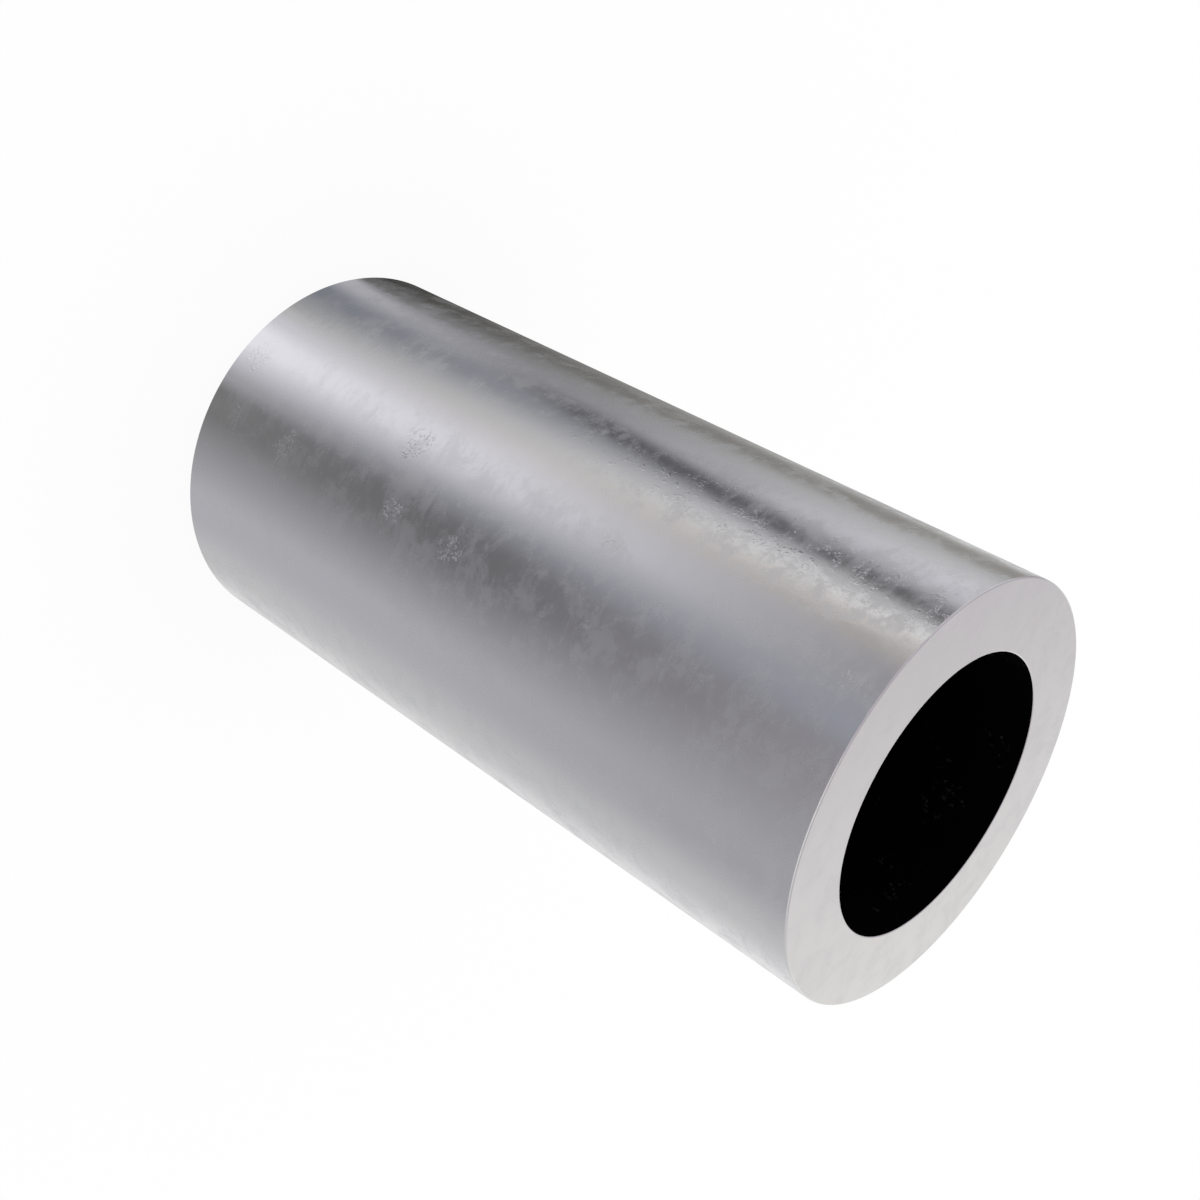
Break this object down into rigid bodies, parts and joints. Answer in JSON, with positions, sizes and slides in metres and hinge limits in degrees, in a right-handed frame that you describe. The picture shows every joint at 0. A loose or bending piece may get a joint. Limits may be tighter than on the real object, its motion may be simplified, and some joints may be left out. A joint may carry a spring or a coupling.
{
  "type": "plain sleeve bushing",
  "caption": "Plain thick-walled steel sleeve bushing with square ends and a straight through bore, pressed into a housing to guide a pin or shaft.",
  "frame": {"origin": "centre of the lower end face, on the bore axis", "axes": "+Z along the bore axis, from the lower end face to the upper one; the part is round, so X and Y are free"},
  "size_m": [0.03, 0.03, 0.0602],
  "materials": {
    "steel": "satin bright steel with rubbed cloudy patches and fine scuffs, dark inside the bore"
  },
  "bodies": {
    "root": {"sleeve": "steel"}
  },
  "joints": []
}
